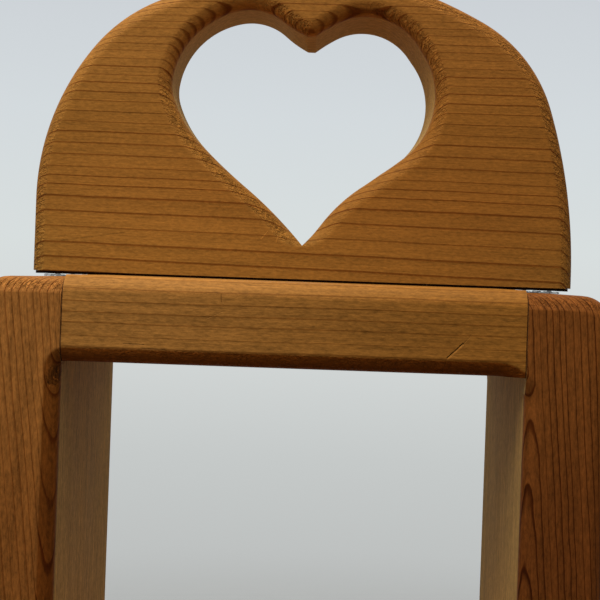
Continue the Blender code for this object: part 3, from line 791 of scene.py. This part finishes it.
# The crest is darker towards its right and paler towards its top; its lower part is tinted less red as
# painted light, offsetting the orange light that the top board throws up onto it.
CREST_FADES = (("Along", -50, 60, (0.88, 0.81, 0.75)), ("Height", 330, 304, (0.98, 1.1, 1.16)),
               ("Height", 346, 368, (1.15, 1.15, 1.24)))
crest_pine = pine("pine_heart_crest", (0.37, 0.156, 0.028), (0.15, 0.038, 0.004), CREST_LINES, UP, SIDEWAYS,
                  CREST_LOW.y, slant=1.12, drift=5.0, lean=0.144, fan=-0.41, wave=0.16 * MM,
                  wave_length=25 * MM, seed=21.0, share=0.07, widen=2.6, strength=0.82, edge=0.15,
                  bands=0.15, torn=1.2, streaks=0.2, flecks=0.38, fades=CREST_FADES,
                  middle=(HEART_CENTRE[0], 0.0, CREST_LOW.z + HEART_CENTRE[1]), scratches=CREST_SCRATCHES)
heart_crest(crest_pine)

# Glue line under the crest
# Old glue squeezed almost to the front of the joint. It is nearly black, partly as painted shade for the
# shadow in the joint. Grey dust and hair have gathered under its ends, over the sides, which stop a little
# lower than the top board; the dust's pale tone and the grey specks in the glue there are partly painted
# light, for daylight through the gap.

GLUE_HALF = 68.6 * MM
GLUE_INSET = 0.5 * MM
GLUE_STEP = 0.75 * MM
joint_top = CREST_LOW.z - 0.01 * MM
joint_bottom = FRAME_TOP + 0.01 * MM
GLUE_SAGS = (50.9 * MM, 52.5 * MM)   # it hangs lower beyond the ends of the top board
GLUE_ENDS = 0.68 * MM                # and is this thick there
GLUE_WAVES = (910, 433, 2210)        # of its ragged edge, in radians to the metre
DUST_FROM = 51.2 * MM
DUST_STEP = 0.3 * MM
DUST_DEEP = 3.0 * MM
DUST_WAVES = (1900, 4700)
SEAM_PLAY = 0.002 * MM               # between the film in a seam and the boards on both sides of it
SEAM_SUNK = 0.12 * MM                # and how far behind the faces it ends


def swept_strip(name, sections):
    """A closed strip through rectangles, each given by its x and by its front, back, bottom and top."""
    shell = bmesh.new()
    rings = []
    for x, front, back, bottom, top in sections:
        corners = ((front, top), (back, top), (back, bottom), (front, bottom))
        rings.append([shell.verts.new((x, y, z)) for y, z in corners])
    for near, far in zip(rings, rings[1:]):
        for i in range(4):
            k = (i + 1) % 4
            shell.faces.new((near[i], near[k], far[k], far[i]))
    shell.faces.new(rings[0])
    shell.faces.new(rings[-1])
    bmesh.ops.recalc_face_normals(shell, faces=shell.faces)
    mesh = bpy.data.meshes.new(name)
    shell.to_mesh(mesh)
    shell.free()
    return mesh


def glue_line():
    full = joint_top - joint_bottom
    quick, slow, fine = GLUE_WAVES
    sections = []
    for x in np.linspace(-GLUE_HALF, GLUE_HALF, round(2 * GLUE_HALF / GLUE_STEP) + 1):
        ripple = math.sin(x * quick) * math.sin(x * slow + 1.0) + 0.5 * math.sin(x * fine + 0.7)
        thick = np.interp(abs(x), GLUE_SAGS, (full, GLUE_ENDS + 0.05 * MM * ripple))
        front = CREST_LOW.y + GLUE_INSET + 0.25 * MM * (1 + ripple * 0.5)
        sections.append((x, front, CREST_HIGH.y - 2.0 * MM, joint_top - thick, joint_top))
    return swept_strip("crest_glue_line", sections)


def dust_strip(name, hand):
    """A ragged ridge of dust along the top of one side board."""
    slow, fine = DUST_WAVES
    sections = []
    for reach in np.arange(DUST_FROM, GLUE_HALF - 2.0 * MM, DUST_STEP):
        ragged = 0.5 + 0.3 * math.sin(reach * slow * (1.0 + 0.1 * hand)) + 0.3 * math.sin(reach * fine + hand)
        top = SIDE_TOP + (0.15 + 0.55 * max(0.0, ragged)) * MM
        front = CREST_LOW.y + GLUE_INSET + (1.0 - 0.5 * ragged) * MM
        sections.append((hand * reach, front, front + DUST_DEEP, SIDE_TOP - 0.05 * MM, top))
    return swept_strip(name, sections)


def seam_fill(node, hand):
    """The glue and dust that fill the seam between one end of a cross board and its side board."""
    low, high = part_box(node)
    ends = (high.x + SEAM_PLAY, OPENING_HALF - SEAM_PLAY)
    grid = np.array([[(hand * x, z) for z in board_levels(low.z, min(high.z, SIDE_TOP))] for x in ends])
    cut = frame_cut(grid, SIDE_TOP) + SEAM_SUNK
    name = f"{node}_seam_{'left' if hand < 0 else 'right'}"
    return skin(name, laid(grid, FRONT_Y + cut), laid(grid, BACK_Y - cut))


GLUE_DUST_AND_GLINTS = (0.42, 0.36, 0.36, 1.0)            # grey specks, partly dust in the glue and partly painted glints of daylight through the gap, more towards its ends
# The dust's pale tone is partly painted light, standing in for daylight that shows through the gap.
DUST_DARK, PALE_DUST_AND_DAYLIGHT = (0.09, 0.05, 0.035, 1.0), (0.55, 0.50, 0.52, 1.0)


# Old glue, with grey specks towards its ends that are partly dust and partly painted glints of daylight
# through the gap.
def glue_dust_and_glints(name, dark, light, dust_and_glints):
    finish, tree, shader, position = new_finish(name)
    patches = cloud(tree, position, 700.0, 3.0, 0.6)
    colour = blend(tree, ease(tree, patches, 0.0, 1.0), (*dark, 1.0), (*light, 1.0))
    specks = cloud(tree, vector(tree, "MULTIPLY", position, (1.0, 1.0, 0.4)), 1500.0, 2.0, 0.6)
    out = calc(tree, "ABSOLUTE", put(tree, "SeparateXYZ", {0: position}).outputs["X"])
    dust_and_glint_share = times(tree, ease(tree, specks, 0.55, 0.9),
                   ease(tree, out, 5.0 * MM, 45.0 * MM, 0.15 * dust_and_glints, dust_and_glints))
    feed(tree, shader, {
        "Base Color": blend(tree, dust_and_glint_share, colour, GLUE_DUST_AND_GLINTS), "IOR": 1.2, "Specular IOR Level": 0.2,
        "Roughness": summed(tree, 0.6, (patches, 0.1))})
    return finish


def dust_and_daylight():
    finish, tree, shader, position = new_finish("dust_and_daylight")
    tufts = cloud(tree, vector(tree, "MULTIPLY", position, (1.0, 1.0, 2.0)), 900.0, 3.0, 0.65)
    feed(tree, shader, {
        "Base Color": blend(tree, ease(tree, tufts, -0.3, 0.6), DUST_DARK, PALE_DUST_AND_DAYLIGHT),
        "Alpha": ease(tree, tufts, 0.4, -0.4, 0.2, 0.75), "Roughness": 0.95})
    return finish


def in_joint(mesh, finish):
    """Add a strip that lies in a joint, and has no CAD node."""
    mesh.materials.append(finish)
    made = bpy.data.objects.new(mesh.name, mesh)
    bpy.context.collection.objects.link(made)
    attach(made, "root")


# The crest's glue is nearly black, partly as painted shade for the shadow in the joint.
in_joint(glue_line(), glue_dust_and_glints("glue_dust_and_glints", (0.012, 0.005, 0.002), (0.035, 0.02, 0.012), 1.0))
# The dust strips' pale tone is partly painted light, for daylight through the gap.
dust = dust_and_daylight()
in_joint(dust_strip("joint_dust_left", -1), dust)
in_joint(dust_strip("joint_dust_right", 1), dust)
seam_glue = glue_dust_and_glints("seam_glue", (0.06, 0.02, 0.006), (0.22, 0.10, 0.035), 0.0)
for node in CROSS_BOARDS:
    for hand in (-1, 1):
        in_joint(seam_fill(node, hand), seam_glue)

# Dowels
# Smooth beech pins with chamfered ends, glued half into one board of a joint and half into the other, where
# none of them shows. They keep the shape of the model.


BEECH_PALE, BEECH_DARK = (0.66, 0.46, 0.28, 1.0), (0.52, 0.34, 0.19, 1.0)


def beech():
    finish, tree, shader, position = new_finish("beech_pin")
    fibre = use(tree, pine_fibre, {"Position": position, "Stretch": (0.08, 1.0, 1.0), "Seed": 40.0})
    feed(tree, shader, {
        "Base Color": blend(tree, ease(tree, fibre["Streak"], -0.6, 0.9), BEECH_PALE, BEECH_DARK),
        "Roughness": summed(tree, 0.62, (fibre["Pore"], 0.05)),
        "Normal": raised(tree, times(tree, fibre["Streak"], 0.03))})
    return finish


beech_pin = beech()
for node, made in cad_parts.items():
    if "dowel" in node:
        made.data.materials.clear()
        made.data.materials.append(beech_pin)

# Hanger
# A stamped steel sawtooth plate with a dull zinc plating, held to the back of the top board by two small
# nails. Plate and nails keep the shape of the model.


ZINC_BRIGHT, ZINC_DULL = (0.58, 0.57, 0.54, 1.0), (0.33, 0.31, 0.27, 1.0)


def zinc():
    finish, tree, shader, position = new_finish("dull_zinc")
    rolled = cloud(tree, vector(tree, "MULTIPLY", position, (60.0, 2500.0, 2500.0)), 1.0, 3.0, 0.6)
    tarnish = cloud(tree, position, 260.0, 4.0, 0.6)
    feed(tree, shader, {
        "Base Color": blend(tree, ease(tree, tarnish, -0.2, 1.2), ZINC_BRIGHT, ZINC_DULL), "Metallic": 1.0,
        "Roughness": summed(tree, 0.38, (tarnish, 0.10)), "Normal": raised(tree, times(tree, rolled, 0.004))})
    return finish


dull_zinc = zinc()
for node in ("sawtooth_hanger", "hanger_nail_left", "hanger_nail_right"):
    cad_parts[node].data.materials.clear()
    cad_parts[node].data.materials.append(dull_zinc)

# Stage
# A pale floor that fades out into a pale surround. The surround is a plain soft room: light comes from
# above, and little from below.

FLOOR_R = 1.2
FLOOR_DROP = 0.2 * MM
FLOOR_FADE = (0.45, 1.0)         # distances from the shelf where it starts and ends to fade
FLOOR_TONES = (0.60, 0.615, 0.61, 1.0), (0.64, 0.655, 0.65, 1.0)
FLOOR_BOUNCE = (0.06, 0.06, 0.06, 1.0)    # it throws this little light back up


def looked_at(tree):
    """One for rays that look at a thing, straight or by a reflection, and nothing for those that light."""
    rays = put(tree, "LightPath").outputs
    share = calc(tree, "MAXIMUM", rays["Is Camera Ray"], rays["Is Glossy Ray"])
    return calc(tree, "MAXIMUM", share, rays["Is Transmission Ray"])


def pale_floor():
    finish = bpy.data.materials.new("pale_floor")
    finish.use_nodes = True
    tree = finish.node_tree
    tree.nodes.clear()
    position = put(tree, "TexCoord").outputs["Object"]
    pale = blend(tree, ease(tree, cloud(tree, position, 40.0, 3.0, 0.5), -1.0, 1.0), *FLOOR_TONES)
    matt = put(tree, "BsdfDiffuse", {"Color": blend(tree, looked_at(tree), FLOOR_BOUNCE, pale)})
    clear = put(tree, "BsdfTransparent")
    faded = ease(tree, vector(tree, "LENGTH", position), *FLOOR_FADE)
    shown = put(tree, "MixShader", {0: faded, 1: matt.outputs[0], 2: clear.outputs[0]})
    put(tree, "OutputMaterial", {"Surface": shown.outputs[0]})
    return finish


floor_shell = bmesh.new()
bmesh.ops.create_circle(floor_shell, cap_ends=True, segments=96, radius=FLOOR_R)
floor_mesh = bpy.data.meshes.new("floor")
floor_shell.to_mesh(floor_mesh)
floor_shell.free()
floor_mesh.materials.append(pale_floor())
floor = bpy.data.objects.new("floor", floor_mesh)
floor.location.z = -FLOOR_DROP
bpy.context.collection.objects.link(floor)

ROOM_LIGHT = (1.0, 0.98, 0.95, 1.0)
ROOM_LEVEL = 0.05      # plain light from all round
ROOM_BEHIND = 0.45     # more of it from the bright wall behind
ROOM_LEFT = 0.14       # from the left
ROOM_ABOVE = 0.22      # and from the ceiling
ROOM_TONES = (  # height of the view direction, and the surround's colour there
    (-0.28, (0.49, 0.505, 0.50)), (-0.16, (0.56, 0.585, 0.58)), (-0.05, (0.66, 0.69, 0.685)),
    (0.03, (0.685, 0.73, 0.73)), (0.14, (0.655, 0.70, 0.725)), (0.26, (0.60, 0.635, 0.67)))


def surround():
    room = bpy.data.worlds.new("plain_room")
    room.use_nodes = True
    tree = room.node_tree
    tree.nodes.clear()
    toward = put(tree, "TexCoord").outputs["Generated"]
    right, back, height = put(tree, "SeparateXYZ", {0: toward}).outputs
    low, high = ROOM_TONES[0][0], ROOM_TONES[-1][0]
    place = put(tree, "MapRange", {"Value": height, "From Min": low, "From Max": high}).outputs["Result"]
    ramp = put(tree, "ValToRGB", {0: place})
    stops = ramp.color_ramp.elements
    while len(stops) < len(ROOM_TONES):
        stops.new(0.5)
    for stop, (level, tone) in zip(stops, ROOM_TONES):
        stop.position = (level - low) / (high - low)
        stop.color = (*tone, 1.0)
    level = ease(tree, back, 0.0, 1.0, ROOM_LEVEL, ROOM_LEVEL + ROOM_BEHIND)
    level = calc(tree, "ADD", level, ease(tree, right, 0.2, -1.0, 0.0, ROOM_LEFT))
    level = calc(tree, "ADD", level, ease(tree, height, 0.0, 0.8, 0.0, ROOM_ABOVE))
    light = put(tree, "Background", {"Color": ROOM_LIGHT, "Strength": level})
    backdrop = put(tree, "Background", {"Color": ramp.outputs[0], "Strength": 1.0})
    both = put(tree, "MixShader", {0: looked_at(tree), 1: light.outputs[0], 2: backdrop.outputs[0]})
    put(tree, "OutputWorld", {"Surface": both.outputs[0]})
    return room


bpy.context.scene.world = surround()

KEY_TURN = math.radians(-25)     # to the left of straight ahead
KEY_RISE = math.radians(66)
KEY_AWAY = 0.92
KEY_SIZE = 0.85
KEY_POWER = 11.0                 # watts
KEY_COLOUR = (1.0, 0.97, 0.92)

lamp = bpy.data.lights.new("softbox", "AREA")
lamp.size = KEY_SIZE
lamp.energy = KEY_POWER
lamp.color = KEY_COLOUR
softbox = bpy.data.objects.new("softbox", lamp)
ahead = math.cos(KEY_RISE)
away = Vector((math.sin(KEY_TURN) * ahead, -math.cos(KEY_TURN) * ahead, math.sin(KEY_RISE)))
softbox.location = Vector((0.0, 0.0, FRAME_TOP)) + KEY_AWAY * away
softbox.rotation_euler = (-away).to_track_quat("-Z", "Y").to_euler()
bpy.context.collection.objects.link(softbox)

# Camera
# Level with the top board and close to it, turned a little about its own axis, as the photographer held it.
# Its place and its focal length come from the edges of the boards and of the heart in the photo.

FOCAL_PX = 1110.0
PICTURE_PX = 600.0
EYE_PX = (333.3, 278.2)          # where the camera's straight-ahead line meets the picture
ROLL = 0.03542
SENSOR = 36.0
EYE = Vector((8.1 * MM, FRONT_Y - 240.9 * MM, FRAME_TOP + 1.2 * MM))

view = bpy.data.cameras.new("camera")
view.sensor_width = SENSOR
view.lens = SENSOR * FOCAL_PX / PICTURE_PX
view.shift_x = (PICTURE_PX / 2 - EYE_PX[0]) / PICTURE_PX
view.shift_y = (EYE_PX[1] - PICTURE_PX / 2) / PICTURE_PX
view.clip_start = 0.01
camera = bpy.data.objects.new("camera", view)
camera.location = EYE
camera.rotation_mode = "XYZ"
camera.rotation_euler = (math.pi / 2, 0.0, 0.0)
camera.rotation_euler.rotate_axis("Z", ROLL)
bpy.context.collection.objects.link(camera)
bpy.context.scene.camera = camera
bpy.context.scene.view_settings.view_transform = "Standard"
